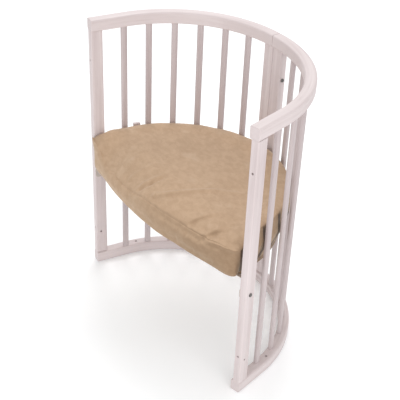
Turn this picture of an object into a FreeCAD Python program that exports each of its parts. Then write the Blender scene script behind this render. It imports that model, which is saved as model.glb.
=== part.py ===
import FreeCAD, Part
import math
import os

# Half of a small oval crib, set up as a curved-back seat: two bent quarter panels of rails,
# posts and slats, a seat board on four steel plates, and a loose half-moon cushion.
# Millimetres. +Z up, the open front faces -Y, origin on the floor under the middle of the footprint.

# --- overall sizes ---------------------------------------------------------------------------
HEIGHT = 860.0            # floor to the top of the top rail
RAIL_DEPTH = 398.0        # outer front corner of a rail to the back of the rails
CUSHION_BULGE = 66.0      # how far the cushion's front stands before the rails' corners

# --- plan of the outer rail line, one half ----------------------------------------------------
BEND_RADIUS = 362.0       # bent part
SEAM_RUN = 6.6            # straight part beside the seam at the back
FLARE = 11.0              # degrees the straight front part opens outwards
SEAM_GAP = 1.0            # gap between the two panels' rails

# --- rails ------------------------------------------------------------------------------------
RAIL_WIDTH = 32.0
RAIL_HEIGHT = 36.0
RAIL_OUTER_ROUND = 7.0
RAIL_INNER_ROUND = 5.0
RAIL_END_ROUND = 1.5

# --- posts ------------------------------------------------------------------------------------
POST_INSET = 2.0          # post's outer face inside the outer rail line
POST_THICK = 24.0
POST_WIDTH = 36.0
POST_SETBACK = 0.6        # post's end face behind the rail's end face
POST_ROUND = 3.5

# --- slats ------------------------------------------------------------------------------------
SLAT_COUNT = 6
SLAT_FIRST = 103.0        # along the outer line from the rail's front end to the first slat
SLAT_PITCH = 81.3
SLAT_INSET = 22.5         # slat's middle inside the outer rail line
SLAT_THICK = 12.0
SLAT_WIDTH = 19.0
SLAT_ROUND = 5.0
TENON_DEPTH = 12.0
GLUE_GAP = 0.15

# --- dowels joining posts to rails ------------------------------------------------------------
DOWEL_RADIUS = 4.0
DOWEL_LENGTH = 40.0
DOWEL_SPACING = 20.0
DOWEL_END_GAP = 0.5

# --- holes in the posts and bottom rails ------------------------------------------------------
JOINT_LEVELS = (132.0, 731.0)   # heights of the holes running through a post's width
JOINT_RADIUS = 3.5
SIDE_HOLE_LEVEL = 118.0         # hole through a front post's thickness
SIDE_HOLE_RADIUS = 3.5
SIDE_HOLE_BACK = 16.0           # behind the rail's end face
CASTER_RADIUS = 4.0
CASTER_INSET = 16.0

# --- connector bolts and nuts across the seam -------------------------------------------------
BOLT_RADIUS = 3.0
BOLT_HEAD_RADIUS = 5.5
BOLT_HEAD_THICK = 3.3
BOLT_HEAD_ROUND = 1.6
SOCKET_FLATS = 4.0
SOCKET_DEPTH = 2.0
NUT_FLATS = 10.0
NUT_THICK = 5.0
BOLT_TIP = 1.5            # bolt's end beyond its nut
THREAD_GAP = 0.1

# --- seat plates, seat bolts and screws -------------------------------------------------------
SEAT_LEVEL = 388.0        # top of the seat board
BOARD_THICK = 15.0
PLATE_THICK = 2.0
PLATE_LOW = 333.0
PLATE_HIGH = 366.0
PLATE_START = 3.0         # plate's round end behind the rail's end face
PLATE_LENGTH = 57.0
PLATE_END_ROUND = 9.0
TONGUE_BACK = 34.0        # where the plate's bent tongue begins, behind the rail's end face
TONGUE_REACH = 46.0
SEAT_BOLT_LEVEL = 350.5
SEAT_BOLT_BACK = 17.0
SEAT_BOLT_GAP = 0.4
SCREW_RADIUS = 2.0
SCREW_HEAD_RADIUS = 4.0
SCREW_HEAD_THICK = 2.2
SCREW_BITE = 12.0

# --- seat board and locating tab --------------------------------------------------------------
BOARD_INSET = 58.0        # board's edge inside the outer rail line
BOARD_LEAD = 2.0          # board's front before the rails' corners, in the middle
BOARD_FRONT_RADIUS = 1700.0
BOARD_ROUND = 2.0
BOARD_CORNER = 12.0
TAB_WIDTH = 21.0
TAB_THICK = 9.0
TAB_TOP = 499.0
TAB_INNER = 29.2          # tab's inner face inside the outer rail line
TAB_FOOT_REACH = 58.0
TAB_FOOT_THICK = 12.0
TAB_ROUND = 2.0

# --- cushion ----------------------------------------------------------------------------------
CUSHION_HIGH = 500.0
CUSHION_INSET = 33.0      # cushion's side inside the outer rail line
CUSHION_FRONT_RADIUS = 1250.0
CUSHION_CORNER = 16.0
CUSHION_TOP_ROUND = 9.0
CUSHION_LOW_ROUND = 20.0
COVER_THICK = 3.0
CORE_GAP = 0.5

# --- values that follow -----------------------------------------------------------------------
UP = FreeCAD.Vector(0, 0, 1)
MID_DEPTH = (RAIL_DEPTH + CUSHION_BULGE) / 2
Y_BACK = MID_DEPTH
Y_FRONT = Y_BACK - RAIL_DEPTH
FLARE_RAD = math.radians(FLARE)
BEND_SWEEP = 90.0 - FLARE
CENTRE_Y = Y_BACK - BEND_RADIUS
FRONT_RUN = (CENTRE_Y + BEND_RADIUS * math.sin(FLARE_RAD) - Y_FRONT) / math.cos(FLARE_RAD)
BEND_RUN = BEND_RADIUS * math.radians(BEND_SWEEP)
PANEL_RUN = FRONT_RUN + BEND_RUN + SEAM_RUN
CORNER_X = SEAM_RUN + BEND_RADIUS * math.cos(FLARE_RAD) + FRONT_RUN * math.sin(FLARE_RAD)
TOP_RAIL_LOW = HEIGHT - RAIL_HEIGHT
POST_MIDDLE = POST_INSET + POST_THICK / 2
POST_INNER = POST_INSET + POST_THICK
BOARD_LOW = SEAT_LEVEL - BOARD_THICK
JOINT_BOLT_REACH = 2 * POST_WIDTH + SEAM_GAP + NUT_THICK + BOLT_TIP
SLAT_RUNS = [SLAT_FIRST + SLAT_PITCH * i for i in range(SLAT_COUNT)]
CASTER_RUN = (SLAT_RUNS[0] + SLAT_RUNS[1]) / 2


def station(run):
    """Frame on the left outer line: +X points inwards, +Y runs towards the back seam."""
    if run <= FRONT_RUN:
        turn = -FLARE
        x = -CORNER_X + run * math.sin(FLARE_RAD)
        y = Y_FRONT + run * math.cos(FLARE_RAD)
    elif run <= FRONT_RUN + BEND_RUN:
        swing = BEND_SWEEP - math.degrees((run - FRONT_RUN) / BEND_RADIUS)
        turn = swing - 90.0
        x = -SEAM_RUN - BEND_RADIUS * math.sin(math.radians(swing))
        y = CENTRE_Y + BEND_RADIUS * math.cos(math.radians(swing))
    else:
        turn = -90.0
        x = run - PANEL_RUN
        y = Y_BACK
    return FreeCAD.Placement(FreeCAD.Vector(x, y, 0), FreeCAD.Rotation(UP, turn))


FRONT_END = station(0.0)
SEAM_END = station(PANEL_RUN - SEAM_GAP / 2)


def placed(shape, place):
    """Shape built in a station's frame, moved to where it belongs."""
    moved = shape.copy()
    moved.Placement = place.multiply(moved.Placement)
    return moved


def mirrored(shape):
    """The right-hand twin of a left-hand shape."""
    return shape.mirror(FreeCAD.Vector(0, 0, 0), FreeCAD.Vector(1, 0, 0))


def both_sides(shapes):
    """Left-hand shapes together with their right-hand twins."""
    return shapes + [mirrored(shape) for shape in shapes]


def edges_along(shape, direction):
    """Straight edges of the shape that run along the direction."""
    found = []
    for edge in shape.Edges:
        if edge.Curve.TypeId == "Part::GeomLine":
            if abs(abs(edge.Curve.Direction.dot(direction)) - 1.0) < 1e-6:
                found.append(edge)
    return found


def edges_at_height(shape, height):
    """Edges of the shape that lie in the level plane at the height."""
    found = []
    for edge in shape.Edges:
        box = edge.BoundBox
        if abs(box.ZMin - height) < 1e-4 and abs(box.ZMax - height) < 1e-4:
            found.append(edge)
    return found


def bar(x0, x1, y0, y1, z0, z1):
    """Plain block between two corners."""
    return Part.makeBox(x1 - x0, y1 - y0, z1 - z0, FreeCAD.Vector(x0, y0, z0))


def rounded_bar(x0, x1, y0, y1, z0, z1, radius):
    """Upright bar with rounded upright edges."""
    block = bar(x0, x1, y0, y1, z0, z1)
    return block.makeFillet(radius, edges_along(block, UP))


def rod(radius, length, start, direction):
    """Round bar from a start point."""
    return Part.makeCylinder(radius, length, start, direction)


def corner_arc(cx, cz, radius, mid_degrees):
    """Quarter arc in the XZ plane around a centre."""
    points = []
    for degrees in (mid_degrees + 45, mid_degrees, mid_degrees - 45):
        angle = math.radians(degrees)
        points.append(FreeCAD.Vector(cx + radius * math.cos(angle), 0, cz + radius * math.sin(angle)))
    return Part.Arc(points[0], points[1], points[2]).toShape()


def rail_section():
    """Rounded rail section in a station's XZ plane, standing on z = 0."""
    w, h, ro, ri = RAIL_WIDTH, RAIL_HEIGHT, RAIL_OUTER_ROUND, RAIL_INNER_ROUND
    arcs = [
        corner_arc(ro, h - ro, ro, 135),
        corner_arc(w - ri, h - ri, ri, 45),
        corner_arc(w - ri, ri, ri, -45),
        corner_arc(ro, ro, ro, -135),
    ]
    edges = []
    for i, arc in enumerate(arcs):
        following = arcs[(i + 1) % len(arcs)]
        edges.append(arc)
        edges.append(Part.makeLine(arc.lastVertex(True).Point, following.firstVertex(True).Point))
    return Part.Face(Part.Wire(Part.sortEdges(edges)[0]))


def end_face_edges(shape, place):
    """Edges of the shape lying in the station's XZ plane."""
    normal = place.Rotation.multVec(FreeCAD.Vector(0, 1, 0))
    found = []
    for edge in shape.Edges:
        if all(abs((v.Point - place.Base).dot(normal)) < 1e-4 for v in edge.Vertexes):
            found.append(edge)
    return found


def rail_blank():
    """Left bent rail, standing on z = 0, before any hole is cut."""
    section = rail_section()
    ahead = FRONT_END.Rotation.multVec(FreeCAD.Vector(0, 1, 0))
    front = placed(section, FRONT_END).extrude(ahead * FRONT_RUN)
    centre = FreeCAD.Vector(-SEAM_RUN, CENTRE_Y, 0)
    bend = placed(section, station(FRONT_RUN)).revolve(centre, UP, -BEND_SWEEP)
    seam = placed(section, station(FRONT_RUN + BEND_RUN)).extrude(
        FreeCAD.Vector(SEAM_RUN - SEAM_GAP / 2, 0, 0))
    rail = front.fuse([bend, seam]).removeSplitter()
    rail = rail.makeFillet(RAIL_END_ROUND, end_face_edges(rail, FRONT_END))
    return rail.makeFillet(RAIL_END_ROUND, end_face_edges(rail, SEAM_END))


def slat_bar(grow, low, high):
    """Slat section around the slat's middle line, grown all round by a margin."""
    return rounded_bar(SLAT_INSET - SLAT_THICK / 2 - grow, SLAT_INSET + SLAT_THICK / 2 + grow,
                       -SLAT_WIDTH / 2 - grow, SLAT_WIDTH / 2 + grow, low, high, SLAT_ROUND + grow)


def mortises(low, high):
    """Pockets for the slats' ends between two heights."""
    pocket = slat_bar(GLUE_GAP, low, high)
    return [placed(pocket, station(run)) for run in SLAT_RUNS]


def dowel_lines():
    """Station and distance along it of every dowel of the left panel."""
    front_middle = POST_SETBACK + POST_WIDTH / 2
    back_middle = -POST_WIDTH / 2
    lines = []
    for place, middle in ((FRONT_END, front_middle), (SEAM_END, back_middle)):
        for side in (-1, 1):
            lines.append((place, middle + side * DOWEL_SPACING / 2))
    return lines


def dowel_bars(joint_level, radius, length):
    """Upright round bars centred on a joint between post and rail."""
    bars = []
    for place, along in dowel_lines():
        start = FreeCAD.Vector(POST_MIDDLE, along, joint_level - length / 2)
        bars.append(placed(rod(radius, length, start, UP), place))
    return bars


def dowel_holes(joint_level):
    """Drillings for the dowels at one joint level."""
    return dowel_bars(joint_level, DOWEL_RADIUS + GLUE_GAP, DOWEL_LENGTH + 2 * DOWEL_END_GAP)


def bottom_rail():
    """Left bottom rail with mortises, dowel holes and the caster hole."""
    cutters = mortises(RAIL_HEIGHT - TENON_DEPTH - DOWEL_END_GAP, RAIL_HEIGHT + TENON_DEPTH)
    cutters += dowel_holes(RAIL_HEIGHT)
    start = FreeCAD.Vector(CASTER_INSET, 0, -RAIL_HEIGHT)
    cutters.append(placed(rod(CASTER_RADIUS, 3 * RAIL_HEIGHT, start, UP), station(CASTER_RUN)))
    return rail_blank().cut(cutters)


def top_rail():
    """Left top rail with mortises and dowel holes."""
    rail = rail_blank()
    rail.translate(UP * TOP_RAIL_LOW)
    cutters = mortises(TOP_RAIL_LOW - TENON_DEPTH, TOP_RAIL_LOW + TENON_DEPTH + DOWEL_END_GAP)
    cutters += dowel_holes(TOP_RAIL_LOW)
    return rail.cut(cutters)


def slat(run):
    """Left slat at a distance along the rail, both ends let into the rails."""
    return placed(slat_bar(0.0, RAIL_HEIGHT - TENON_DEPTH, TOP_RAIL_LOW + TENON_DEPTH), station(run))


def joint_bores(y0):
    """Bores through a post's width at both joint levels."""
    along = FreeCAD.Vector(0, 1, 0)
    bores = []
    for level in JOINT_LEVELS:
        bores.append(rod(JOINT_RADIUS, 2 * POST_WIDTH, FreeCAD.Vector(POST_MIDDLE, y0, level), along))
    return bores


def cross_bore(y, level, radius):
    """Bore through a post's thickness."""
    return rod(radius, 2 * POST_THICK, FreeCAD.Vector(-POST_INSET, y, level), FreeCAD.Vector(1, 0, 0))


def post(place, y0, cutters):
    """Left post between the rails, from y0 along the station, with its bores."""
    board = rounded_bar(POST_INSET, POST_INNER, y0, y0 + POST_WIDTH, RAIL_HEIGHT, TOP_RAIL_LOW, POST_ROUND)
    board = placed(board.cut(cutters), place)
    return board.cut(dowel_holes(RAIL_HEIGHT) + dowel_holes(TOP_RAIL_LOW))


def front_post():
    """Left post at the open front."""
    cutters = joint_bores(-POST_WIDTH / 2)
    cutters.append(cross_bore(SIDE_HOLE_BACK, SIDE_HOLE_LEVEL, SIDE_HOLE_RADIUS))
    cutters.append(cross_bore(SEAT_BOLT_BACK, SEAT_BOLT_LEVEL, BOLT_RADIUS + SEAT_BOLT_GAP))
    return post(FRONT_END, POST_SETBACK, cutters)


def back_post():
    """Left post beside the seam."""
    cutters = joint_bores(-1.5 * POST_WIDTH)
    cutters.append(cross_bore(-SEAT_BOLT_BACK, SEAT_BOLT_LEVEL, BOLT_RADIUS + SEAT_BOLT_GAP))
    return post(SEAM_END, -POST_WIDTH, cutters)


def hexagon(flats):
    """Six-sided face at z = 0 with a given width across its flats."""
    reach = flats / math.sqrt(3.0)
    corners = []
    for i in range(7):
        angle = math.radians(60 * i)
        corners.append(FreeCAD.Vector(reach * math.cos(angle), reach * math.sin(angle), 0))
    return Part.Face(Part.makePolygon(corners))


def button_bolt(length):
    """Bolt with its head above z = 0 and its shank below."""
    head = rod(BOLT_HEAD_RADIUS, BOLT_HEAD_THICK, FreeCAD.Vector(0, 0, 0), UP)
    head = head.makeFillet(BOLT_HEAD_ROUND, edges_at_height(head, BOLT_HEAD_THICK))
    socket = hexagon(SOCKET_FLATS).extrude(UP * -SOCKET_DEPTH)
    socket.translate(UP * BOLT_HEAD_THICK)
    shank = rod(BOLT_RADIUS, length, FreeCAD.Vector(0, 0, -length), UP)
    return head.cut(socket).fuse(shank).removeSplitter()


def aimed(shape, base, direction):
    """Shape whose +Z is turned to the direction and whose origin goes to the base."""
    return placed(shape, FreeCAD.Placement(base, FreeCAD.Rotation(UP, direction)))


def joint_bolts():
    """Bolts across the seam, heads on the right back post."""
    y = Y_BACK - POST_MIDDLE
    x = SEAM_GAP / 2 + POST_WIDTH
    bolt = button_bolt(JOINT_BOLT_REACH)
    return [aimed(bolt, FreeCAD.Vector(x, y, z), FreeCAD.Vector(1, 0, 0)) for z in JOINT_LEVELS]


def joint_nuts():
    """Nuts against the left back post that take the joint bolts."""
    y = Y_BACK - POST_MIDDLE
    x = -SEAM_GAP / 2 - POST_WIDTH
    bore = rod(BOLT_RADIUS + THREAD_GAP, NUT_THICK, FreeCAD.Vector(0, 0, 0), UP)
    nut = hexagon(NUT_FLATS).extrude(UP * NUT_THICK).cut(bore)
    return [aimed(nut, FreeCAD.Vector(x, y, z), FreeCAD.Vector(-1, 0, 0)) for z in JOINT_LEVELS]


def plate_blank(y0, toe):
    """Seat plate in a station's frame from y0; toe is -1 when the round end is at y0."""
    y1 = y0 + PLATE_LENGTH
    x0, x1 = POST_INNER, POST_INNER + PLATE_THICK
    ear = bar(x0, x1, y0, y1, PLATE_LOW, PLATE_HIGH)
    y_toe = y0 if toe < 0 else y1
    toe_edges = []
    for edge in edges_along(ear, FreeCAD.Vector(1, 0, 0)):
        if abs(edge.Vertexes[0].Point.y - y_toe) < 1e-6:
            toe_edges.append(edge)
    ear = ear.makeFillet(PLATE_END_ROUND, toe_edges)
    setback = TONGUE_BACK - PLATE_START
    t0, t1 = (y0 + setback, y1) if toe < 0 else (y0, y1 - setback)
    riser = bar(x0, x1, t0, t1, PLATE_HIGH - PLATE_END_ROUND, BOARD_LOW)
    tongue = bar(x0, x0 + TONGUE_REACH, t0, t1, BOARD_LOW - PLATE_THICK, BOARD_LOW)
    plate = ear.fuse([riser, tongue]).removeSplitter()
    bend = []
    for edge in edges_along(plate, FreeCAD.Vector(0, 1, 0)):
        point = edge.Vertexes[0].Point
        if abs(point.x - x0) < 1e-6 and abs(point.z - BOARD_LOW) < 1e-6:
            bend.append(edge)
    return plate.makeFillet(PLATE_THICK, bend)


def screw_spot(y0, toe):
    """Where the seat screw passes the tongue, in a station's frame."""
    width = PLATE_LENGTH - (TONGUE_BACK - PLATE_START)
    y = y0 + PLATE_LENGTH - width / 2 if toe < 0 else y0 + width / 2
    x = (BOARD_INSET + POST_INNER + TONGUE_REACH) / 2
    return FreeCAD.Vector(x, y, BOARD_LOW - PLATE_THICK)


def seat_plate(place, y0, toe, bolt_y):
    """Left seat plate against a post's inner face, drilled for its bolt and screw."""
    plate = plate_blank(y0, toe)
    bolt_hole = cross_bore(bolt_y, SEAT_BOLT_LEVEL, BOLT_RADIUS + THREAD_GAP)
    screw_hole = rod(SCREW_RADIUS + THREAD_GAP, PLATE_THICK, screw_spot(y0, toe), UP)
    return placed(plate.cut([bolt_hole, screw_hole]), place)


PLATE_SEATS = ((FRONT_END, PLATE_START, -1, SEAT_BOLT_BACK),
               (SEAM_END, -PLATE_START - PLATE_LENGTH, 1, -SEAT_BOLT_BACK))


def seat_bolts():
    """Bolts through the posts into the seat plates, heads outside."""
    bolt = button_bolt(POST_THICK + PLATE_THICK)
    bolts = []
    for place, y0, toe, bolt_y in PLATE_SEATS:
        base = FreeCAD.Vector(POST_INSET, bolt_y, SEAT_BOLT_LEVEL)
        bolts.append(placed(aimed(bolt, base, FreeCAD.Vector(-1, 0, 0)), place))
    return both_sides(bolts)


def wood_screw():
    """Screw with its head below z = 0 and its shank above."""
    head = rod(SCREW_HEAD_RADIUS, SCREW_HEAD_THICK, FreeCAD.Vector(0, 0, -SCREW_HEAD_THICK), UP)
    head = head.makeFillet(SCREW_HEAD_THICK / 2, edges_at_height(head, -SCREW_HEAD_THICK))
    shank = rod(SCREW_RADIUS, PLATE_THICK + SCREW_BITE, FreeCAD.Vector(0, 0, 0), UP)
    return head.fuse(shank).removeSplitter()


def seat_screw_shapes():
    """Screws up through the plates' tongues into the seat board."""
    screws = []
    for place, y0, toe, bolt_y in PLATE_SEATS:
        screw = wood_screw()
        screw.translate(screw_spot(y0, toe))
        screws.append(placed(screw, place))
    return both_sides(screws)


def inset_face(inset, front_y, front_radius):
    """Half-moon face at z = 0: the outer rail line moved in, closed by a bulging front arc."""
    right = []
    r = BEND_RADIUS - inset
    run = 2 * FRONT_RUN
    for swing in (0.0, BEND_SWEEP / 2, BEND_SWEEP):
        angle = math.radians(swing)
        right.append(FreeCAD.Vector(SEAM_RUN + r * math.sin(angle), CENTRE_Y + r * math.cos(angle), 0))
    tip = right[2] + FreeCAD.Vector(math.sin(FLARE_RAD), -math.cos(FLARE_RAD), 0) * run
    left = [FreeCAD.Vector(-p.x, p.y, 0) for p in right]
    left_tip = FreeCAD.Vector(-tip.x, tip.y, 0)
    edges = [
        Part.makeLine(left[0], right[0]),
        Part.Arc(right[0], right[1], right[2]).toShape(),
        Part.makeLine(right[2], tip),
        Part.makeLine(tip, left_tip),
        Part.makeLine(left_tip, left[2]),
        Part.Arc(left[2], left[1], left[0]).toShape(),
    ]
    plan = Part.Face(Part.Wire(edges))
    centre = FreeCAD.Vector(0, front_y + front_radius, 0)
    disc = Part.Face(Part.Wire(Part.makeCircle(front_radius, centre)))
    return plan.common(disc).Faces[0]


def front_corners(shape):
    """Upright edges where a half-moon's sides meet its front."""
    return [edge for edge in edges_along(shape, UP) if edge.Vertexes[0].Point.y < Y_FRONT + FRONT_RUN / 2]


def half_moon(inset, front_y, front_radius, corner, low, high):
    """Upright half-moon slab with rounded front corners."""
    face = inset_face(inset, front_y, front_radius)
    face.translate(UP * low)
    slab = face.extrude(UP * (high - low))
    return slab.makeFillet(corner, front_corners(slab))


def tab_block():
    """Locating tab in its station's frame: an upright tongue on a foot under the seat board."""
    x0 = TAB_INNER - TAB_THICK
    half = TAB_WIDTH / 2
    foot_low = BOARD_LOW - TAB_FOOT_THICK
    upright = bar(x0, TAB_INNER, -half, half, foot_low, TAB_TOP)
    foot = bar(x0, TAB_INNER + TAB_FOOT_REACH, -half, half, foot_low, BOARD_LOW)
    block = upright.fuse(foot).removeSplitter()
    return block.makeFillet(TAB_ROUND, edges_at_height(block, TAB_TOP))


def tab_screw_spots():
    """Points under the tab's foot where its screws enter."""
    level = BOARD_LOW - TAB_FOOT_THICK
    reach = TAB_INNER + TAB_FOOT_REACH - BOARD_INSET
    xs = (BOARD_INSET + reach / 4, BOARD_INSET + 3 * reach / 4)
    return [FreeCAD.Vector(x, 0, level) for x in xs]


def tab_screw_shapes():
    """Screws up through the tab's foot into the seat board."""
    screws = []
    for spot in tab_screw_spots():
        head = rod(SCREW_HEAD_RADIUS, SCREW_HEAD_THICK, spot - UP * SCREW_HEAD_THICK, UP)
        head = head.makeFillet(SCREW_HEAD_THICK / 2, edges_at_height(head, spot.z - SCREW_HEAD_THICK))
        shank = rod(SCREW_RADIUS, TAB_FOOT_THICK + SCREW_BITE, spot, UP)
        screws.append(placed(head.fuse(shank).removeSplitter(), station(CASTER_RUN)))
    return screws


def locating_tab():
    """The tab between the first two left slats, drilled for its screws."""
    holes = [rod(SCREW_RADIUS + THREAD_GAP, TAB_FOOT_THICK, spot, UP) for spot in tab_screw_spots()]
    return placed(tab_block().cut(holes), station(CASTER_RUN))


def screw_pilots():
    """Pilot holes in the seat board for every screw."""
    pilots = []
    depth = SCREW_BITE + DOWEL_END_GAP
    for place, y0, toe, bolt_y in PLATE_SEATS:
        spot = screw_spot(y0, toe) + UP * PLATE_THICK
        pilots.append(placed(rod(SCREW_RADIUS + THREAD_GAP, depth, spot, UP), place))
    pilots = both_sides(pilots)
    for spot in tab_screw_spots():
        start = spot + UP * TAB_FOOT_THICK
        pilots.append(placed(rod(SCREW_RADIUS + THREAD_GAP, depth, start, UP), station(CASTER_RUN)))
    return pilots


def seat_board():
    """Half-moon seat board under the cushion."""
    board = half_moon(BOARD_INSET, Y_FRONT - BOARD_LEAD, BOARD_FRONT_RADIUS, BOARD_CORNER,
                      BOARD_LOW, SEAT_LEVEL)
    rims = edges_at_height(board, BOARD_LOW) + edges_at_height(board, SEAT_LEVEL)
    return board.makeFillet(BOARD_ROUND, rims).cut(screw_pilots())


def cushion_body(skin):
    """Cushion shape, drawn in all round by a skin thickness."""
    low = SEAT_LEVEL + skin
    high = CUSHION_HIGH - skin
    slab = half_moon(CUSHION_INSET + skin, Y_FRONT - CUSHION_BULGE + skin, CUSHION_FRONT_RADIUS - skin,
                     CUSHION_CORNER - skin, low, high)
    slab = slab.makeFillet(CUSHION_TOP_ROUND - skin, edges_at_height(slab, high))
    return slab.makeFillet(CUSHION_LOW_ROUND - skin, edges_at_height(slab, low))


def save(name, shapes):
    """Write one node's shape, or one node's group of separate solids."""
    shape = shapes if isinstance(shapes, Part.Shape) else Part.makeCompound(shapes)
    shape.exportStep("parts/" + name + ".step")


def save_pair(stem, shape):
    """Write a left-hand shape and its right-hand twin."""
    save(stem + "_left", shape)
    save(stem + "_right", mirrored(shape))


os.makedirs("parts", exist_ok=True)
save_pair("top_rail", top_rail())
save_pair("bottom_rail", bottom_rail())
save_pair("front_post", front_post())
save_pair("back_post", back_post())
for number, slat_run in enumerate(SLAT_RUNS, start=1):
    blank = slat(slat_run)
    save("slat_left_" + str(number), blank)
    save("slat_right_" + str(number), mirrored(blank))
for row, seat in zip(("front", "back"), PLATE_SEATS):
    save_pair("seat_plate_" + row, seat_plate(*seat))
save("post_dowels", both_sides(dowel_bars(RAIL_HEIGHT, DOWEL_RADIUS, DOWEL_LENGTH)
                               + dowel_bars(TOP_RAIL_LOW, DOWEL_RADIUS, DOWEL_LENGTH)))
save("back_joint_bolts", joint_bolts())
save("back_joint_nuts", joint_nuts())
save("seat_bolts", seat_bolts())
save("seat_board_screws", seat_screw_shapes())
save("tab_screws", tab_screw_shapes())
save("seat_board", seat_board())
save("locating_tab", locating_tab())
save("cushion_cover", cushion_body(0.0).cut(cushion_body(COVER_THICK)))
save("cushion_core", cushion_body(COVER_THICK + CORE_GAP))
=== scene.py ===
import math

import bmesh
import bpy
import numpy as np
from mathutils import Matrix, Vector


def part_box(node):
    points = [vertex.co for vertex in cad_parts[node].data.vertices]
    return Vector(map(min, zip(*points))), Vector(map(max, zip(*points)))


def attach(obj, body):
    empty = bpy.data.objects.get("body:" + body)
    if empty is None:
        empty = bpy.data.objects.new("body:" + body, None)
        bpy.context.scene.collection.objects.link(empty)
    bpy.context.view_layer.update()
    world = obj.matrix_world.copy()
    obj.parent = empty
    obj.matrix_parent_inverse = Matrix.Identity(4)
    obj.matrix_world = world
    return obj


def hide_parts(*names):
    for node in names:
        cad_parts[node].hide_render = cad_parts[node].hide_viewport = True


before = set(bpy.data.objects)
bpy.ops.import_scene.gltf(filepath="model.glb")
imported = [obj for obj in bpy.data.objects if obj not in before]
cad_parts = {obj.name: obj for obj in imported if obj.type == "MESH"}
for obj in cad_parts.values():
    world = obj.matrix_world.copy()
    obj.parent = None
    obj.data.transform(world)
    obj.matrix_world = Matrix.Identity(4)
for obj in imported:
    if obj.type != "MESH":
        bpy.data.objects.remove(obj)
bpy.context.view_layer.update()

MM = 0.001

# --- plan of the bent rails, as in the CAD part ------------------------------------------------
BEND_RADIUS = 362.0 * MM
SEAM_RUN = 6.6 * MM
FLARE = math.radians(11.0)
Y_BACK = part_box("bottom_rail_left")[1].y
CENTRE_Y = Y_BACK - BEND_RADIUS
BEND_SWEEP = math.pi / 2 - FLARE
CORNER_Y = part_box("bottom_rail_right")[0].y
FRONT_RUN = (CENTRE_Y - CORNER_Y + BEND_RADIUS * math.sin(FLARE)) / math.cos(FLARE)
SLAT_COUNT = 6
SLAT_FIRST = 103.0 * MM         # first slat's middle behind the rail's front corner, along the rail
SLAT_PITCH = 81.3 * MM

# --- heights of the cushion -------------------------------------------------------------------
PAD_LOW, PAD_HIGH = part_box("cushion_cover")
SEAT_Z = PAD_LOW.z
TOP_Z = PAD_HIGH.z

# --- camera -----------------------------------------------------------------------------------
CAMERA_AZIMUTH = math.radians(51.386)
CAMERA_ELEVATION = math.radians(34.25)
CAMERA_ROLL = math.radians(2.541)
CAMERA_DISTANCE = 2.78857
CAMERA_TARGET = Vector((-0.00973, -0.02372, 0.38641))
CAMERA_LENS = 85.26
SENSOR = 36.0


# --- node helpers -----------------------------------------------------------------------------
class Nodes:
    """Small builder for a material's node tree around one Principled shader."""

    def __init__(self, name):
        self.material = bpy.data.materials.new(name)
        self.material.use_nodes = True
        self.tree = self.material.node_tree
        self.shader = self.tree.nodes["Principled BSDF"]

    def add(self, kind, **settings):
        node = self.tree.nodes.new(kind)
        for key, value in settings.items():
            setattr(node, key, value)
        return node

    def feed(self, socket, value):
        if isinstance(value, bpy.types.NodeSocket):
            self.tree.links.new(value, socket)
        elif value is not None:
            socket.default_value = value

    def math(self, operation, a, b=None, c=None):
        node = self.add("ShaderNodeMath", operation=operation)
        for socket, value in zip(node.inputs, (a, b, c)):
            self.feed(socket, value)
        return node.outputs[0]

    def mix(self, factor, a, b):
        """Number between a and b."""
        node = self.add("ShaderNodeMix", data_type="FLOAT")
        for socket, value in zip(node.inputs[:4], (factor, None, a, b)):
            self.feed(socket, value)
        return node.outputs[0]

    def colour_mix(self, factor, a, b, blend="MIX"):
        node = self.add("ShaderNodeMix", data_type="RGBA", blend_type=blend)
        self.feed(node.inputs[0], factor)
        self.feed(node.inputs[6], a)
        self.feed(node.inputs[7], b)
        return node.outputs[2]

    def position(self):
        """The point's x, y and z in the row frame."""
        split = self.add("ShaderNodeSeparateXYZ")
        self.feed(split.inputs[0], self.add("ShaderNodeTexCoord").outputs["Object"])
        return split.outputs

    def vector(self, x, y, z):
        node = self.add("ShaderNodeCombineXYZ")
        for socket, value in zip(node.inputs, (x, y, z)):
            self.feed(socket, value)
        return node.outputs[0]

    def noise(self, vector, scale, detail=3.0, roughness=0.5, distortion=0.0):
        node = self.add("ShaderNodeTexNoise")
        self.feed(node.inputs["Vector"], vector)
        for name, value in (("Scale", scale), ("Detail", detail), ("Roughness", roughness),
                            ("Distortion", distortion)):
            node.inputs[name].default_value = value
        return node.outputs["Fac"]

    def ramp(self, value, low, high, start=0.0, end=1.0):
        """Value from low..high stretched to start..end, smoothly and clamped."""
        node = self.add("ShaderNodeMapRange", interpolation_type="SMOOTHSTEP")
        for socket, number in zip(node.inputs, (value, low, high, start, end)):
            self.feed(socket, number)
        return node.outputs[0]

    def bump(self, height, strength, distance, normal=None):
        node = self.add("ShaderNodeBump")
        node.inputs["Strength"].default_value = strength
        node.inputs["Distance"].default_value = distance
        self.feed(node.inputs["Height"], height)
        if normal is not None:
            self.feed(node.inputs["Normal"], normal)
        return node.outputs["Normal"]


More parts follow.
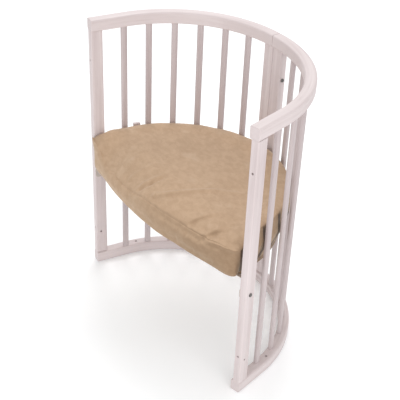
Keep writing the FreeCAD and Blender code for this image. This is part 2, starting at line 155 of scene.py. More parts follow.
# --- wood -------------------------------------------------------------------------------------
WASH_LIGHT = (0.705, 0.625, 0.622, 1.0)
WASH_DARK = (0.565, 0.478, 0.475, 1.0)
SLAT_LIGHT = (0.58, 0.508, 0.508, 1.0)
SLAT_DARK = (0.465, 0.388, 0.388, 1.0)
END_GRAIN = (0.55, 0.465, 0.46, 1.0)
RING_SCALE = 120.0
FIBRE_RUN, FIBRE_PACK = 6.0, 330.0      # waves per metre along and across the grain
BAND_RUN, BAND_PACK = 1.6, 55.0
DRIFT_SCALE = 5.0
PITH_DROP = 21.0 * MM
END_FACING = (0.93, 0.97)
PORE_DEPTH = 0.22
WOOD_SPECULAR = 0.42
WOOD_RELIEF = 0.25 * MM
BARE_LIGHT = (0.60, 0.44, 0.27, 1.0)
BARE_DARK = (0.42, 0.28, 0.15, 1.0)
STAIN_LIGHT = (0.30, 0.20, 0.125, 1.0)
STAIN_DARK = (0.20, 0.13, 0.08, 1.0)


def upright_grain(n):
    """Grain coordinates of a straight upright piece: along, and twice across."""
    x, y, z = n.position()
    return z, x, y


def level_grain(n):
    """Grain coordinates of a board whose grain runs from side to side."""
    x, y, z = n.position()
    return x, y, z


def bent_grain(n):
    """Grain coordinates of a bent rail: along its bend, across it, and up."""
    x, y, z = n.position()
    px = n.math("SUBTRACT", n.math("ABSOLUTE", x), SEAM_RUN)
    py = n.math("SUBTRACT", y, CENTRE_Y)
    radius = n.math("SQRT", n.math("ADD", n.math("MULTIPLY", px, px), n.math("MULTIPLY", py, py)))
    around = n.math("MULTIPLY", n.math("ARCTAN2", px, py), BEND_RADIUS)
    past = n.math("SUBTRACT", n.math("MULTIPLY", px, math.sin(FLARE)),
                  n.math("MULTIPLY", py, math.cos(FLARE)))
    out = n.math("ADD", n.math("MULTIPLY", px, math.cos(FLARE)),
                 n.math("MULTIPLY", py, math.sin(FLARE)))
    straight = n.math("GREATER_THAN", past, 0.0)
    along = n.mix(straight, around, n.math("ADD", past, BEND_RADIUS * BEND_SWEEP))
    across = n.mix(straight, radius, out)
    return along, across, z


def wood(name, grain, light, dark, end_grain, roughness, seed):
    """Close-grained wood under a thin wash, with pores, slow colour drift and a soft sheen."""
    n = Nodes(name)
    along, across, up = grain(n)
    shifted = n.math("ADD", along, seed)
    fibre = n.vector(n.math("MULTIPLY", shifted, FIBRE_RUN), n.math("MULTIPLY", across, FIBRE_PACK),
                     n.math("MULTIPLY", up, FIBRE_PACK))
    band = n.vector(n.math("MULTIPLY", shifted, BAND_RUN), n.math("MULTIPLY", across, BAND_PACK),
                    n.math("MULTIPLY", up, BAND_PACK))
    fibres = n.noise(fibre, 1.0, detail=4.0, roughness=0.6)
    bands = n.noise(band, 1.0, detail=3.0, roughness=0.55, distortion=0.6)
    drift = n.noise(n.vector(shifted, across, up), DRIFT_SCALE, detail=2.0)
    pores = n.ramp(n.noise(fibre, 2.3, detail=2.0), 0.62, 0.74)
    tone = n.math("ADD", n.ramp(bands, 0.34, 0.68, 0.0, 0.62), n.ramp(fibres, 0.30, 0.72, 0.0, 0.38))
    tone = n.math("MULTIPLY", tone, n.ramp(drift, 0.3, 0.7, 0.62, 1.0))
    colour = n.colour_mix(tone, light, dark)
    colour = n.colour_mix(n.math("MULTIPLY", pores, PORE_DEPTH), colour, dark, "MULTIPLY")
    if end_grain is not None:
        normal = n.add("ShaderNodeSeparateXYZ")
        n.feed(normal.inputs[0], n.add("ShaderNodeNewGeometry").outputs["True Normal"])
        side = n.math("MULTIPLY", n.math("ABSOLUTE", normal.outputs[0]), math.sin(FLARE))
        facing = n.math("SUBTRACT", side, n.math("MULTIPLY", normal.outputs[1], math.cos(FLARE)))
        rings = n.add("ShaderNodeTexWave", wave_type="RINGS", rings_direction="X")
        n.feed(rings.inputs["Vector"], n.vector(along, across, n.math("ADD", up, PITH_DROP)))
        for socket, value in (("Scale", RING_SCALE), ("Distortion", 3.0), ("Detail", 2.0)):
            rings.inputs[socket].default_value = value
        ends = n.colour_mix(rings.outputs["Fac"], end_grain, light)
        colour = n.colour_mix(n.ramp(facing, *END_FACING, 0.0, 0.75), colour, ends)
    n.feed(n.shader.inputs["Base Color"], colour)
    n.feed(n.shader.inputs["Roughness"], n.mix(fibres, roughness - 0.07, roughness + 0.08))
    n.shader.inputs["Specular IOR Level"].default_value = WOOD_SPECULAR
    height = n.math("SUBTRACT", n.math("MULTIPLY", fibres, 0.6), n.math("MULTIPLY", pores, 0.9))
    n.feed(n.shader.inputs["Normal"], n.bump(height, 0.35, WOOD_RELIEF))
    return n.material


# --- metal ------------------------------------------------------------------------------------
COAT_DARK = (0.50, 0.43, 0.385, 1)
COAT_LIGHT = (0.56, 0.49, 0.44, 1)
COAT_SCUFF = (0.60, 0.56, 0.52, 1)
PEEL_SCALE = 900.0
SCUFF_SCALE = 60.0
ZINC_DARK = (0.10, 0.095, 0.09, 1)
ZINC_LIGHT = (0.27, 0.26, 0.25, 1)
PATCH_SCALE = 240.0
TURNING_ACROSS, TURNING_UP = 300.0, 2500.0


def powder_coat():
    """Beige-grey powder coat with a fine orange-peel skin and faint scuffs."""
    n = Nodes("powder_coat")
    x, y, z = n.position()
    place = n.vector(x, y, z)
    peel = n.noise(place, PEEL_SCALE, detail=2.0)
    scuff = n.ramp(n.noise(place, SCUFF_SCALE, detail=5.0, roughness=0.7), 0.56, 0.75)
    colour = n.colour_mix(peel, COAT_DARK, COAT_LIGHT)
    colour = n.colour_mix(n.math("MULTIPLY", scuff, 0.5), colour, COAT_SCUFF)
    n.feed(n.shader.inputs["Base Color"], colour)
    n.feed(n.shader.inputs["Roughness"], n.mix(scuff, 0.55, 0.38))
    n.shader.inputs["Metallic"].default_value = 0.15
    n.feed(n.shader.inputs["Normal"], n.bump(peel, 0.25, 0.1 * MM))
    return n.material


def zinc():
    """Dulled zinc plate with turning marks and darker patches."""
    n = Nodes("zinc")
    x, y, z = n.position()
    place = n.vector(x, y, z)
    patches = n.noise(place, PATCH_SCALE, detail=4.0, roughness=0.6)
    turning = n.vector(n.math("MULTIPLY", x, TURNING_ACROSS), n.math("MULTIPLY", y, TURNING_ACROSS),
                       n.math("MULTIPLY", z, TURNING_UP))
    marks = n.noise(turning, 1.0, detail=2.0)
    n.feed(n.shader.inputs["Base Color"], n.colour_mix(patches, ZINC_DARK, ZINC_LIGHT))
    n.feed(n.shader.inputs["Roughness"], n.mix(marks, 0.22, 0.42))
    n.shader.inputs["Metallic"].default_value = 1.0
    n.feed(n.shader.inputs["Normal"], n.bump(marks, 0.3, 0.05 * MM))
    return n.material


# --- fabric -----------------------------------------------------------------------------------
PILE_LIGHT = (0.55, 0.388, 0.262, 1.0)
PILE_DARK = (0.43, 0.290, 0.186, 1.0)
PILE_WORN = (0.60, 0.455, 0.33, 1.0)
# painted shade: the cover's upright side band is multiplied by this colour so it reads darker than the lit
# top
BAND_PAINTED_SHADE = (0.66, 0.64, 0.61, 1.0)
# painted shadow: near-black colour of the strips in the gaps beside the right-hand slats and the front
# post
PAINTED_SHADOW = (0.085, 0.055, 0.038, 1.0)
SHEEN = (0.95, 0.86, 0.74, 1.0)
NAP_ALONG, NAP_ACROSS = 48.0, 62.0
TUFT_SCALE = 750.0
KNIT_SCALE = 620.0
SOFT_RELIEF = 1.2 * MM
PILE_RELIEF = 0.6 * MM
BAND_FACING = (0.25, 0.80)              # upward share of the normal over which the painted shade fades, from side band to top
BAND_SIDE = (-0.22, 0.30)               # x over which the band's painted shade grows, darker towards the right
SHADOW_BEHIND = 11.0 * MM                  # painted shadow lies this far behind its slat's middle
SHADOW_SLANT = 8.0 * MM                    # and this much more at the bottom
SHADOW_EDGE = (7.5 * MM, 10.5 * MM)
SHADOW_PAST_POST = (50 * MM, 58 * MM)
SHADOW_POST_START = (8.0 * MM, 12.0 * MM)
SHADOW_POST_END = (25 * MM, 31 * MM)
SHADOW_RIM = (BEND_RADIUS - 62 * MM, BEND_RADIUS - 52 * MM)
SHADOW_SIDE = (120 * MM, 200 * MM)
SHADOW_FACING = (0.15, 0.45)


def painted_gap_shadow(n, up_share):
    """Where shadow is painted dark on the right-hand band, in the gaps beside the slats and the front
    post.
    """
    x, y, z = n.position()
    along, across, _ = bent_grain(n)
    slant = n.ramp(z, SEAT_Z, TOP_Z, SHADOW_SLANT, 0.0)
    level_run = n.math("SUBTRACT", FRONT_RUN + BEND_RADIUS * BEND_SWEEP - SHADOW_BEHIND, along)
    run = n.math("SUBTRACT", level_run, slant)
    steps = n.math("DIVIDE", n.math("SUBTRACT", run, SLAT_FIRST - SLAT_PITCH / 2), SLAT_PITCH)
    offset = n.math("ABSOLUTE", n.math("SUBTRACT", n.math("FRACT", steps), 0.5))
    at_slat = n.ramp(n.math("MULTIPLY", offset, SLAT_PITCH), *SHADOW_EDGE, 1.0, 0.0)
    past_post = n.ramp(run, *SHADOW_PAST_POST)
    at_post = n.math("MULTIPLY", n.ramp(run, *SHADOW_POST_START), n.ramp(run, *SHADOW_POST_END, 1.0, 0.0))
    shadowed = n.math("MAXIMUM", n.math("MULTIPLY", at_slat, past_post), at_post)
    outer = n.math("MULTIPLY", n.ramp(across, *SHADOW_RIM), n.ramp(x, *SHADOW_SIDE))
    return n.math("MULTIPLY", n.math("MULTIPLY", shadowed, outer), n.ramp(up_share, *SHADOW_FACING, 1.0, 0.0))


def velour():
    """Short-pile velour: nap that lies in drifting directions, tufts, and a soft sheen."""
    n = Nodes("velour")
    x, y, z = n.position()
    place = n.vector(x, y, z)
    stretched = n.vector(n.math("MULTIPLY", x, NAP_ALONG), n.math("MULTIPLY", y, NAP_ACROSS),
                         n.math("MULTIPLY", z, NAP_ACROSS))
    nap = n.noise(stretched, 1.0, detail=5.0, roughness=0.66, distortion=0.5)
    drift = n.noise(place, 7.0, detail=3.0)
    tufts = n.noise(place, TUFT_SCALE, detail=3.0, roughness=0.7)
    knit = n.add("ShaderNodeTexVoronoi", feature="SMOOTH_F1")
    n.feed(knit.inputs["Vector"], place)
    knit.inputs["Scale"].default_value = KNIT_SCALE
    tone = n.math("ADD", n.ramp(nap, 0.32, 0.70, 0.0, 0.55), n.ramp(tufts, 0.3, 0.7, 0.0, 0.30))
    tone = n.math("ADD", tone, n.ramp(drift, 0.35, 0.7, 0.0, 0.15))
    colour = n.colour_mix(tone, PILE_DARK, PILE_LIGHT)
    worn = n.ramp(n.noise(place, 15.0, detail=4.0), 0.56, 0.72, 0.0, 0.35)
    colour = n.colour_mix(worn, colour, PILE_WORN)
    normal = n.add("ShaderNodeSeparateXYZ")
    n.feed(normal.inputs[0], n.add("ShaderNodeNewGeometry").outputs["Normal"])
    # Painted shade: the upright side band is darkened, more towards the right, as if less light falls on
    # it than on the top.
    upright = n.ramp(normal.outputs[2], *BAND_FACING, 1.0, 0.0)
    painted_shade_side = n.ramp(x, *BAND_SIDE)
    colour = n.colour_mix(n.math("MULTIPLY", upright, painted_shade_side), colour,
                          n.colour_mix(1.0, colour, BAND_PAINTED_SHADE, "MULTIPLY"))
    # Painted shadow: dark strips on the band where the slats and the front post shade the gap beside the
    # cushion.
    colour = n.colour_mix(painted_gap_shadow(n, normal.outputs[2]), colour, PAINTED_SHADOW)
    n.feed(n.shader.inputs["Base Color"], colour)
    n.feed(n.shader.inputs["Roughness"], n.mix(tufts, 0.82, 0.96))
    n.shader.inputs["Specular IOR Level"].default_value = 0.2
    n.shader.inputs["Sheen Weight"].default_value = 0.35
    n.shader.inputs["Sheen Roughness"].default_value = 0.45
    n.shader.inputs["Sheen Tint"].default_value = SHEEN
    pile = n.math("ADD", n.math("MULTIPLY", tufts, 0.7), n.math("MULTIPLY", knit.outputs["Distance"], 0.5))
    soft = n.bump(nap, 0.35, SOFT_RELIEF)
    n.feed(n.shader.inputs["Normal"], n.bump(pile, 0.5, PILE_RELIEF, soft))
    return n.material


# --- cushion ----------------------------------------------------------------------------------
SIDE_INSET = 33.0 * MM                  # cushion's side inside the outer rail line
SIDE_SHRINK = 4.0 * MM
TOP_SHRINK = 2.0 * MM
VOXEL = 4.5 * MM
SWELL_CAP = 7.0 * MM
SWELL_FRAMES = 20
FRONT_RADIUS = 1250.0 * MM
FRONT_Y = PAD_LOW.y
MIDDLE_Y = CENTRE_Y + 20 * MM
CORNER_POWER = 14.0                     # how tightly the plan's corners are rounded
BOARD_GAP = 0.1 * MM
WAY_UP_GAP = 0.4 * MM                   # cushion may reach this far past its side, inside the rails
POST_GAP = 1.5 * MM

# Share of the pad's height, and how far its outline is drawn in there, in millimetres.
PAD_RINGS = ((0.0, 7.0), (0.02, 4.0), (0.06, 1.5), (0.12, 0.0), (0.5, 0.0),
             (0.90, 0.0), (0.955, 1.2), (0.985, 3.0), (1.0, 6.0))
PAD_HALF = 0.3                          # metres of outline that a drawn-in ring scales about

# Stretches over which an effect grows from none to full: distances, or shares of the height.
NEAR_SIDE = (90 * MM, 45 * MM)
NEAR_FRONT = (60 * MM, 12 * MM)
LOW_PART = (0.10, 0.80)
HIGH_PART = (0.1, 0.85)
TOP_PART = (0.80, 0.97)
DENT_PART = (0.45, 0.85)
BELLY_PART = (0.05, 0.60)
RIGHT_FRONT = (40 * MM, 140 * MM)
BEFORE_POSTS = (CORNER_Y + 30 * MM, CORNER_Y - 5 * MM)
LEFT_TIP = (-255 * MM, -340 * MM)
RIGHT_TIP = (265 * MM, 325 * MM)
REAR_RIM = (110 * MM, 38 * MM)
RIM_RISE = (-290 * MM, 150 * MM)
FRONT_SLOPE_RUN = (75 * MM, 0.0)
PAST_BOARD = (57 * MM, 51 * MM)
SAG_SIDE = (100 * MM, 220 * MM)
FALL_RUN = (110 * MM, 0.0)
FALL_LEFT_SIDE = (20 * MM, -130 * MM)
FALL_RIGHT_SIDE = (200 * MM, 300 * MM)
FALL_FROM_TIP = (-330 * MM, -240 * MM)
ROLL_SIDE = (220 * MM, 330 * MM)
TUCK_SIDE = (-120 * MM, 120 * MM)
BESIDE_FRONT_POST = (48 * MM, 34 * MM)
DETAIL_PART = (0.70, 0.85)
CREASE_FACING = (0.35, 0.8)

# How far each effect moves the cover.
SKIRT_DRAW, SKIRT_POWER = 12.0 * MM, 0.8
DENT_DEPTH, DENT_WIDTH = 3.0 * MM, 13 * MM
SIDE_SWELL = 6.0 * MM
FRONT_HOLD = 0.55
FRONT_BACK_OFF = 5.0 * MM
BELLY = 8.0 * MM
TIP_REACH, TIP_REACH_HIGH = 11.0 * MM, 23.0 * MM
TIP_FORWARD, TIP_SINK = 4.0 * MM, 7.0 * MM
RIGHT_TIP_REACH = 14.0 * MM
SAG = 10.0 * MM
CROWN, CROWN_WIDE, CROWN_DEEP = 3.0 * MM, 0.34, 0.22
RIM_LIFT, RIM_LIFT_RIGHT = 5.0 * MM, 15.0 * MM
FRONT_SLOPE = 11.0 * MM
FALL, FALL_LEFT, FALL_RIGHT = 18.0, 20.0, 6.0       # millimetres
RIM_DROP = 6.0 * MM
ROLL_RADIUS, ROLL_TIGHTER = 20.0 * MM, 0.4
TUCK, TUCK_BELOW, TUCK_WIDTH = 3.0 * MM, 22.0 * MM, 9.0 * MM
TOP_RIPPLE, TOP_RIPPLE_SIZE, TOP_RIPPLE_SEED = 0.9 * MM, 90 * MM, 5
SIDE_RIPPLE, SIDE_RIPPLE_SIZE, SIDE_RIPPLE_SEED = 1.6 * MM, 70 * MM, 8
SEAM_DEPTH, SEAM_TILT, SEAM_SPREAD = 0.6 * MM, 0.34, 0.22
RIPPLE_WAVES = 14


def outline(inset, front_y, count=360):
    """Half-moon plan of the cushion as points, one for each direction from its middle."""
    middle = np.array([0.0, MIDDLE_Y])
    flare_normal = np.array([math.cos(FLARE), math.sin(FLARE)])
    points = []
    for i in range(count):
        angle = 2 * math.pi * i / count
        ray = np.array([math.cos(angle), math.sin(angle)])
        mirrored = np.array([abs(ray[0]), ray[1]])
        hits = []
        start = middle - np.array([SEAM_RUN, CENTRE_Y])
        radius = BEND_RADIUS - inset
        b = float(start @ mirrored)
        c = float(start @ start) - radius ** 2
        hits.append(-b + math.sqrt(b * b - c))
        reach = hits[0] * mirrored + start
        if reach[0] * math.sin(FLARE) - reach[1] * math.cos(FLARE) > 0:
            hits[0] = (radius - float(start @ flare_normal)) / float(mirrored @ flare_normal)
        centre = np.array([0.0, front_y + FRONT_RADIUS])
        offset = middle - centre
        b = float(offset @ ray)
        c = float(offset @ offset) - FRONT_RADIUS ** 2
        hits.append(-b + math.sqrt(b * b - c))
        blended = (hits[0] ** -CORNER_POWER + hits[1] ** -CORNER_POWER) ** (-1 / CORNER_POWER)
        points.append(middle + blended * ray)
    return np.array(points)


def plan_inset(x, y):
    """Distance inside the outer rail line, and the inward direction, of plan points."""
    side = np.where(x < 0, -1.0, 1.0)
    px = np.abs(x) - SEAM_RUN
    py = y - CENTRE_Y
    radius = np.hypot(px, py)
    past = px * math.sin(FLARE) - py * math.cos(FLARE)
    straight = past > 0
    flat_back = (px < 0) & ~straight
    out = px * math.cos(FLARE) + py * math.sin(FLARE)
    inset = np.where(straight, BEND_RADIUS - out, BEND_RADIUS - radius)
    nx = np.where(straight, math.cos(FLARE), px / np.maximum(radius, 1e-9))
    ny = np.where(straight, math.sin(FLARE), py / np.maximum(radius, 1e-9))
    inset = np.where(flat_back, BEND_RADIUS - py, inset)
    nx = np.where(flat_back, 0.0, nx)
    ny = np.where(flat_back, 1.0, ny)
    return inset, -nx * side, -ny


def start_mesh():
    """Closed half-moon pad with rounded rims, a little smaller than the finished cushion."""
    low, high = SEAT_Z + TOP_SHRINK, TOP_Z - TOP_SHRINK
    rim = outline(SIDE_INSET + SIDE_SHRINK, FRONT_Y + SIDE_SHRINK)
    middle = rim.mean(axis=0)
    levels = []
    for share, round_in in PAD_RINGS:
        scale = 1.0 - round_in * MM / PAD_HALF
        ring = middle + (rim - middle) * scale
        levels.append([(x, y, low + (high - low) * share) for x, y in ring])
    bm = bmesh.new()
    rings = [[bm.verts.new(p) for p in level] for level in levels]
    count = len(rim)
    for lower, upper in zip(rings, rings[1:]):
        for i in range(count):
            j = (i + 1) % count
            bm.faces.new((lower[i], lower[j], upper[j], upper[i]))
    bm.faces.new(list(reversed(rings[0])))
    bm.faces.new(rings[-1])
    bmesh.ops.triangulate(bm, faces=[f for f in bm.faces if len(f.verts) > 4])
    mesh = bpy.data.meshes.new("cushion")
    bm.to_mesh(mesh)
    bm.free()
    return mesh


def apply_modifier(obj, name):
    """Apply one modifier of the object."""
    bpy.context.view_layer.objects.active = obj
    bpy.ops.object.modifier_apply(modifier=name)


def coordinates(mesh):
    """Vertex coordinates as an array."""
    co = np.empty(len(mesh.vertices) * 3)
    mesh.vertices.foreach_get("co", co)
    return co.reshape(-1, 3)


def set_coordinates(mesh, co):
    """Write the vertex coordinates back."""
    mesh.vertices.foreach_set("co", co.astype(np.float32).ravel())
    mesh.update()


def swell(obj):
    """Blow the pad up as cloth for twenty frames and keep at most a capped part of it."""
    scene = bpy.context.scene
    before = coordinates(obj.data)
    cloth = obj.modifiers.new("swell", "CLOTH")
    cloth.settings.use_pressure = True
    cloth.settings.uniform_pressure_force = 4.0
    cloth.settings.effector_weights.gravity = 0.0
    cloth.settings.quality = 5
    cloth.settings.mass = 0.3
    cloth.settings.tension_stiffness = 12.0
    cloth.settings.compression_stiffness = 12.0
    cloth.settings.bending_stiffness = 0.4
    for number in range(1, SWELL_FRAMES + 1):
        scene.frame_set(number)
    evaluated = obj.evaluated_get(bpy.context.evaluated_depsgraph_get())
    after = coordinates(evaluated.data)
    obj.modifiers.remove(cloth)
    scene.frame_set(1)
    move = after - before
    length = np.linalg.norm(move, axis=1)
    capped = SWELL_CAP * np.tanh(length / SWELL_CAP)
    set_coordinates(obj.data, before + move * (capped / np.maximum(length, 1e-9))[:, None])


def smooth(low, high, value):
    """Smooth step from 0 at low to 1 at high."""
    t = np.clip((value - low) / (high - low), 0.0, 1.0)
    return t * t * (3 - 2 * t)


# Creases in the cover: start, end (plan, metres), height and half width in millimetres.
CREASES = [
    ((-0.056, -0.210), (-0.034, -0.182), -4.6, 6.0),
    ((-0.036, -0.184), (-0.020, -0.150), -4.0, 6.0),
    ((-0.064, -0.206), (-0.029, -0.147), 3.2, 7.0),
    ((0.006, -0.206), (0.042, -0.177), 4.0, 7.0),
    ((0.040, -0.179), (0.070, -0.147), 4.6, 7.0),
    ((0.067, -0.152), (0.116, -0.072), 4.6, 8.0),
    ((0.110, -0.080), (0.166, -0.022), 2.8, 9.0),
    ((0.018, -0.212), (0.080, -0.160), -3.4, 8.0),
    ((0.168, -0.196), (0.206, -0.142), -4.0, 7.0),
    ((0.158, -0.196), (0.190, -0.148), 2.4, 8.0),
    ((0.238, -0.187), (0.272, -0.152), -4.4, 7.0),
    ((0.222, -0.192), (0.252, -0.150), 3.0, 7.0),
    ((-0.120, -0.200), (-0.100, -0.160), 2.0, 8.0),
    ((-0.190, -0.190), (-0.150, -0.140), 1.8, 9.0),
    ((0.240, 0.020), (0.290, -0.080), 3.0, 10.0),
]


def crease_height(x, y):
    """Height of all creases at plan points, each a long soft ridge or hollow."""
    total = np.zeros_like(x)
    for (x0, y0), (x1, y1), height, width in CREASES:
        dx, dy = x1 - x0, y1 - y0
        length = math.hypot(dx, dy)
        t = ((x - x0) * dx + (y - y0) * dy) / length ** 2
        away = np.abs((x - x0) * dy - (y - y0) * dx) / length
        fade = smooth(-0.25, 0.15, t) * (1 - smooth(0.7, 1.25, t))
        total += height * MM * fade * np.exp(-(away / (width * MM)) ** 2)
    return total


def ripple(x, y, z, size, seed):
    """Soft random undulation from a few fixed waves."""
    rng = np.random.default_rng(seed)
    total = np.zeros_like(x)
    for _ in range(RIPPLE_WAVES):
        direction = rng.normal(size=3)
        direction /= np.linalg.norm(direction)
        wave = rng.uniform(0.6, 1.6) * size
        phase = rng.uniform(0, 2 * math.pi)
        reach = x * direction[0] + y * direction[1] + z * direction[2]
        total += np.sin(reach * 2 * math.pi / wave + phase)
    return total / RIPPLE_WAVES


def slat_dents(x, y):
    """How closely plan points lie beside a slat, from 0 between slats to 1 at one."""
    px = np.abs(x) - SEAM_RUN
    py = y - CENTRE_Y
    past = px * math.sin(FLARE) - py * math.cos(FLARE)
    before_seam = np.arctan2(np.maximum(px, 0.0), py) * BEND_RADIUS
    run = np.where(past > 0, FRONT_RUN - past, FRONT_RUN + BEND_SWEEP * BEND_RADIUS - before_seam)
    beside = smooth(*BESIDE_FRONT_POST, run)
    for number in range(SLAT_COUNT):
        beside += np.exp(-((run - SLAT_FIRST - number * SLAT_PITCH) / DENT_WIDTH) ** 2)
    return beside


def sagging(x, inset, front):
    """How far the right-hand rim hangs down past its board, clear of the posts' plates."""
    return SAG * smooth(*PAST_BOARD, inset) * smooth(*SAG_SIDE, x) * (1 - front)


def front_fall(x, front_gap):
    """How far the top has sunk towards the front edge, most of all left of the middle."""
    depth = (FALL + FALL_LEFT * smooth(*FALL_LEFT_SIDE, x) - FALL_RIGHT * smooth(*FALL_RIGHT_SIDE, x)) * MM
    return depth * smooth(*FALL_FROM_TIP, x) * smooth(*FALL_RUN, front_gap)


def behind_front(x, y):
    """Distance of plan points behind the cushion's bowed front."""
    return y - FRONT_Y - x ** 2 / (2 * FRONT_RADIUS)


def round_over(x, y, z, front_gap, rim_z):
    """Roll the front top edge to a soft radius, a little tighter towards the ends."""
    radius = ROLL_RADIUS * (1 - ROLL_TIGHTER * smooth(*ROLL_SIDE, np.abs(x)))
    ahead = np.clip(radius - np.maximum(front_gap, 0.0), 0.0, radius)
    above = np.clip(radius - np.maximum(rim_z - z, 0.0), 0.0, radius)
    pull = 1 - np.maximum(ahead, above) / np.maximum(np.hypot(ahead, above), 1e-9)
    return y + ahead * pull, z - above * pull


def settle(co):
    """Lay the swollen pad on its board: drawn-in skirt, corners past the posts, crown and slopes."""
    x, y, z = co.T.copy()
    share = np.clip((z - SEAT_Z) / (TOP_Z - SEAT_Z), 0.0, 1.0)
    inset, ix, iy = plan_inset(x, y)
    at_side = smooth(*NEAR_SIDE, inset)
    front_gap = behind_front(x, y)
    front = smooth(*NEAR_FRONT, front_gap)
    low = 1 - smooth(*LOW_PART, share)
    dents = DENT_DEPTH * slat_dents(x, y) * (1 - smooth(*DENT_PART, share))
    drawn = SKIRT_DRAW * low ** SKIRT_POWER + dents - SIDE_SWELL * (1 - low)
    draw = drawn * at_side * (1 - FRONT_HOLD * front)
    x += ix * draw
    y += iy * draw * (1 - front)
    y += front * FRONT_BACK_OFF * smooth(*RIGHT_FRONT, x)
    y -= front * BELLY * (1 - smooth(*BELLY_PART, share))

    before_posts = smooth(*BEFORE_POSTS, y)
    tip = smooth(*LEFT_TIP, x) * before_posts
    high = smooth(*HIGH_PART, share)
    x -= tip * (TIP_REACH + TIP_REACH_HIGH * high)
    y -= tip * TIP_FORWARD * (1 - high)
    x += smooth(*RIGHT_TIP, x) * before_posts * RIGHT_TIP_REACH * (1 - high)
    z -= sagging(x, inset, front) * low ** 2

    top = smooth(*TOP_PART, share)
    span = np.sqrt((x / CROWN_WIDE) ** 2 + ((y - MIDDLE_Y) / CROWN_DEEP) ** 2)
    z += top * CROWN * (1 - smooth(0.0, 1.0, span))
    lift = RIM_LIFT + RIM_LIFT_RIGHT * smooth(*RIM_RISE, x)
    z += top * smooth(*REAR_RIM, inset) * (1 - front) * lift
    z -= top * FRONT_SLOPE * smooth(*FRONT_SLOPE_RUN, front_gap)
    z += top * TOP_RIPPLE * ripple(x, y, z, TOP_RIPPLE_SIZE, TOP_RIPPLE_SEED)
    z -= top * tip * TIP_SINK
    fall = front_fall(x, front_gap)
    z -= share * fall

    rim_z = TOP_Z - RIM_DROP - fall
    tuck = np.exp(-((rim_z - TUCK_BELOW - z) / TUCK_WIDTH) ** 2) * smooth(*TUCK_SIDE, x)
    y += front * TUCK * tuck
    y, z = round_over(x, y, z, front_gap, rim_z)
    sides = 1 - top
    wobble = sides * SIDE_RIPPLE * ripple(x, y, z * 0.6, SIDE_RIPPLE_SIZE, SIDE_RIPPLE_SEED)
    x += ix * wobble * at_side
    y += iy * wobble * at_side + front * wobble
    return np.stack([x, y, z], axis=1)


def keep_clear(co):
    """Hold the cushion off the board, the posts and the way up past the top rail."""
    x, y, z = co.T.copy()
    inset, ix, iy = plan_inset(x, y)
    front = smooth(*NEAR_FRONT, behind_front(x, y))
    z = np.maximum(z, SEAT_Z + BOARD_GAP - sagging(x, inset, front))
    before_post = y < CORNER_Y - POST_GAP
    short = np.where(before_post, 0.0, np.maximum(SIDE_INSET - WAY_UP_GAP - inset, 0.0))
    x += ix * short
    y += iy * short
    return np.stack([x, y, z], axis=1)


def press_details(obj):
    """Fold the creases and press a sewn seam where the top panel meets the side band."""
    co = coordinates(obj.data)
    x, y, z = co.T
    normals = np.empty(len(co) * 3)
    obj.data.vertices.foreach_get("normal", normals)
    normals = normals.reshape(-1, 3)
    tilt = normals[:, 2]
    fall = front_fall(x, behind_front(x, y))
    upper = smooth(*DETAIL_PART, (z - SEAT_Z) / (TOP_Z - fall - SEAT_Z))
    seam = np.exp(-((tilt - SEAM_TILT) / SEAM_SPREAD) ** 2) * upper
    fold = crease_height(x, y) * upper * smooth(*CREASE_FACING, tilt)
    set_coordinates(obj.data, co + normals * (fold - SEAM_DEPTH * seam)[:, None])


def make_cushion():
    """The loose seat cushion in its velour cover."""
    obj = bpy.data.objects.new("cushion", start_mesh())
    bpy.context.scene.collection.objects.link(obj)
    remesh = obj.modifiers.new("even", "REMESH")
    remesh.mode = "VOXEL"
    remesh.voxel_size = VOXEL
    apply_modifier(obj, "even")
    swell(obj)
    relax = obj.modifiers.new("relax", "SMOOTH")
    relax.factor = 0.5
    relax.iterations = 2
    apply_modifier(obj, "relax")
    set_coordinates(obj.data, keep_clear(settle(coordinates(obj.data))))
    finer = obj.modifiers.new("finer", "SUBSURF")
    finer.levels = 1
    apply_modifier(obj, "finer")
    press_details(obj)
    set_coordinates(obj.data, keep_clear(coordinates(obj.data)))
    for polygon in obj.data.polygons:
        polygon.use_smooth = True
    obj.data.materials.append(velour())
    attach(obj, "cushion")
    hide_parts("cushion_cover", "cushion_core")


# --- carried-over CAD nodes -------------------------------------------------------------------
def dress(node, material):
    """Give a CAD node one finished material."""
    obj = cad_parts[node]
    obj.data.materials.clear()
    obj.data.materials.append(material)


def dress_frame():
    """Finish every CAD node that shows."""
    upright = wood("washed_upright", upright_grain, WASH_LIGHT, WASH_DARK, None, 0.5, 0.0)
    slim = wood("washed_slat", upright_grain, SLAT_LIGHT, SLAT_DARK, None, 0.5, 5.3)
    bent = wood("washed_bent", bent_grain, WASH_LIGHT, WASH_DARK, END_GRAIN, 0.5, 3.1)
    bare = wood("bare_dowel", level_grain, BARE_LIGHT, BARE_DARK, None, 0.62, 1.7)
    stained = wood("stained_board", level_grain, STAIN_LIGHT, STAIN_DARK, None, 0.55, 1.7)
    coat, plated = powder_coat(), zinc()
    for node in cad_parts:
        if "rail" in node:
            dress(node, bent)
        elif "plate" in node:
            dress(node, coat)
        elif any(word in node for word in ("bolts", "nuts", "screws")):
            dress(node, plated)
        elif node == "seat_board":
            dress(node, stained)
        elif node == "post_dowels":
            dress(node, bare)
        elif "slat" in node:
            dress(node, slim)
        elif not node.startswith("cushion"):
            dress(node, upright)


# --- studio -----------------------------------------------------------------------------------
FLOOR_COOL = (0.955, 0.96, 0.965, 1)
FLOOR_PALE = (0.97, 0.97, 0.97, 1)
FLOOR_GLOW, FLOOR_GLOW_STRENGTH = (0.86, 0.95, 1.0, 1.0), 0.11
FLOOR_HALF = 14.0
FLOOR_DROP = 0.5 * MM
WORLD_STRENGTH = 0.82
WHITE = (1.0, 1.0, 1.0)
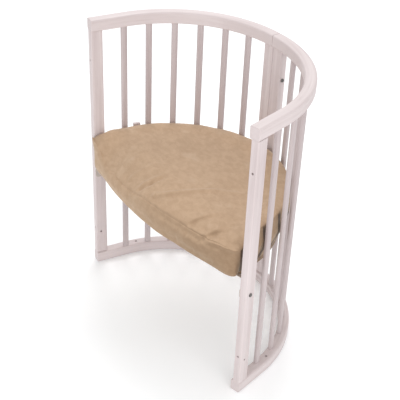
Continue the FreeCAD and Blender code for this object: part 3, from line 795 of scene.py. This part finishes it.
# Name, place, target, size in metres, power in watts, colour.
LIGHTS = (
    ("key", (2.1, -0.5, 1.5), (0, 0, 0.4), 1.2, 10.0, (1.0, 0.985, 0.97)),
    ("fill", (1.4, -2.4, 1.3), (0, 0, 0.3), 1.6, 11.0, WHITE),
    ("overhead", (-1.5, 1.0, 2.9), (0, 0, 0.4), 1.4, 33.0, WHITE),
)


def make_floor():
    """Wide pale floor with a faint glow."""
    n = Nodes("studio_floor")
    x, y, z = n.position()
    mottle = n.noise(n.vector(x, y, z), 3.0, detail=2.0)
    n.feed(n.shader.inputs["Base Color"], n.colour_mix(mottle, FLOOR_COOL, FLOOR_PALE))
    n.shader.inputs["Roughness"].default_value = 0.9
    n.shader.inputs["Specular IOR Level"].default_value = 0.1
    n.shader.inputs["Emission Color"].default_value = FLOOR_GLOW
    n.shader.inputs["Emission Strength"].default_value = FLOOR_GLOW_STRENGTH
    bm = bmesh.new()
    bmesh.ops.create_grid(bm, x_segments=4, y_segments=4, size=FLOOR_HALF)
    mesh = bpy.data.meshes.new("studio_floor")
    bm.to_mesh(mesh)
    bm.free()
    floor = bpy.data.objects.new("studio_floor", mesh)
    floor.location.z = -FLOOR_DROP
    mesh.materials.append(n.material)
    bpy.context.scene.collection.objects.link(floor)


def area_light(name, place, target, size, power, colour):
    """Square soft light aimed at a target."""
    data = bpy.data.lights.new(name, "AREA")
    data.shape = "SQUARE"
    data.size = size
    data.energy = power
    data.color = colour
    light = bpy.data.objects.new(name, data)
    light.location = place
    light.rotation_euler = (Vector(target) - Vector(place)).to_track_quat("-Z", "Y").to_euler()
    bpy.context.scene.collection.objects.link(light)


def make_light():
    """White surround, a broad key and fill from the right front, and a strong soft light overhead."""
    world = bpy.data.worlds.new("studio")
    world.use_nodes = True
    background = world.node_tree.nodes["Background"]
    background.inputs["Color"].default_value = (1.0, 1.0, 1.0, 1.0)
    background.inputs["Strength"].default_value = WORLD_STRENGTH
    bpy.context.scene.world = world
    for settings in LIGHTS:
        area_light(*settings)


def make_camera():
    """Camera at the viewing angle, turned a little about its own axis."""
    az, el, roll = CAMERA_AZIMUTH, CAMERA_ELEVATION, CAMERA_ROLL
    back = Vector((math.sin(az) * math.cos(el), -math.cos(az) * math.cos(el), math.sin(el)))
    right = (-back).cross(Vector((0, 0, 1))).normalized()
    up = right.cross(-back)
    turned_right = right * math.cos(roll) + up * math.sin(roll)
    turned_up = up * math.cos(roll) - right * math.sin(roll)
    data = bpy.data.cameras.new("camera")
    data.sensor_width = SENSOR
    data.lens = CAMERA_LENS
    camera = bpy.data.objects.new("camera", data)
    axes = Matrix((turned_right, turned_up, back)).transposed().to_4x4()
    camera.matrix_world = Matrix.Translation(CAMERA_TARGET + back * CAMERA_DISTANCE) @ axes
    bpy.context.scene.collection.objects.link(camera)
    bpy.context.scene.camera = camera


dress_frame()
make_cushion()
make_floor()
make_light()
make_camera()
bpy.context.scene.view_settings.view_transform = "Standard"
